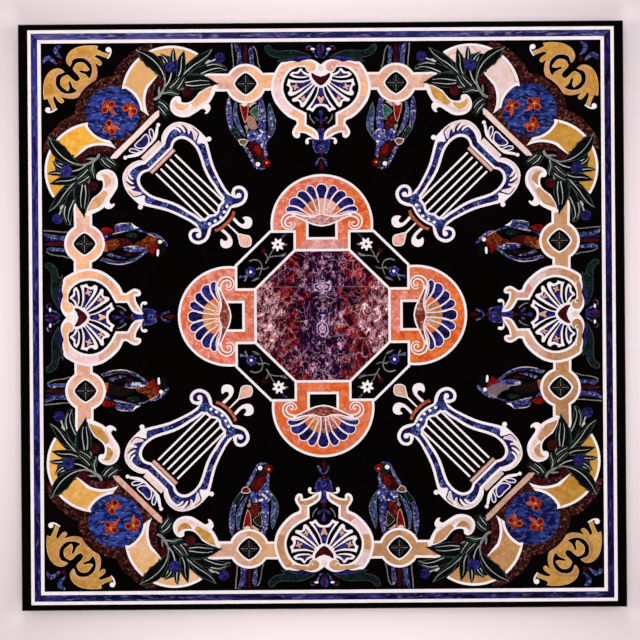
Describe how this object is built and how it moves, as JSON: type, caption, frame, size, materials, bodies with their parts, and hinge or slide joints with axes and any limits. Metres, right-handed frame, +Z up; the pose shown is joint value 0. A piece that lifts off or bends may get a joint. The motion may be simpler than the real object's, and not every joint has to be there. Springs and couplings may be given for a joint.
{
  "type": "inlaid marble tile",
  "caption": "Square slab of polished black marble inlaid with coloured stones in a symmetric pattern of shells, lyres, birds and straps; a table top, floor or wall panel.",
  "frame": {"origin": "centre of the slab's underside", "axes": "+Z up through the inlaid face, +X along the longer side to the picture's right, +Y to the picture's top"},
  "size_m": [1.09, 1.056, 0.03],
  "materials": {
    "black_marble": "polished black marble",
    "white_marble": "polished white marble, a little pink",
    "lapis": "polished lapis lazuli, mottled blue with pale flecks",
    "breccia": "polished breccia, wine red, mauve and dark purple in upright clouds",
    "orange_marble": "polished orange and salmon marble",
    "peach_marble": "polished peach alabaster between white fillets",
    "cream_marble": "polished cream to ochre alabaster with a white edge",
    "yellow_marble": "polished ochre yellow marble",
    "tortoise_breccia": "polished dark brown breccia, mottled like tortoiseshell",
    "bird_stones": "polished blue, teal, white and dark red stones"
  },
  "bodies": {
    "root": {"black_slab": "black_marble", "inner_fillet": "white_marble", "lapis_border": "lapis", "outer_fillet": "white_marble", "centre_octagon": "breccia", "centre_fillet": "white_marble", "lobe_frame_north": "orange_marble", "lobe_frame_east": "orange_marble", "lobe_frame_south": "orange_marble", "lobe_frame_west": "orange_marble", "lobe_shell_north": "lapis", "lobe_shell_east": "lapis", "lobe_shell_south": "lapis", "lobe_shell_west": "lapis", "lyre_north_east": "lapis", "lyre_north_west": "lapis", "lyre_south_west": "lapis", "lyre_south_east": "lapis", "corner_disc_north_east": "lapis", "corner_disc_north_west": "lapis", "corner_disc_south_west": "lapis", "corner_disc_south_east": "lapis", "horn_north_east_end": "cream_marble", "horn_north_east_side": "cream_marble", "horn_north_west_end": "cream_marble", "horn_north_west_side": "cream_marble", "horn_south_west_end": "cream_marble", "horn_south_west_side": "cream_marble", "horn_south_east_end": "cream_marble", "horn_south_east_side": "cream_marble", "cloud_band_north_east": "tortoise_breccia", "cloud_band_north_west": "tortoise_breccia", "cloud_band_south_west": "tortoise_breccia", "cloud_band_south_east": "tortoise_breccia", "gold_scroll_north_east": "yellow_marble", "gold_scroll_north_west": "yellow_marble", "gold_scroll_south_west": "yellow_marble", "gold_scroll_south_east": "yellow_marble", "corner_bar_north_east": "cream_marble", "corner_bar_north_west": "cream_marble", "corner_bar_south_west": "cream_marble", "corner_bar_south_east": "cream_marble", "side_strap_north": "peach_marble", "side_strap_east": "peach_marble", "side_strap_south": "peach_marble", "side_strap_west": "peach_marble", "medallion_fan_north": "lapis", "medallion_fan_east": "lapis", "medallion_fan_south": "lapis", "medallion_fan_west": "lapis", "bird_north_left": "bird_stones", "bird_north_right": "bird_stones", "bird_east_left": "bird_stones", "bird_east_right": "bird_stones", "bird_south_left": "bird_stones", "bird_south_right": "bird_stones", "bird_west_left": "bird_stones", "bird_west_right": "bird_stones"}
  },
  "joints": []
}
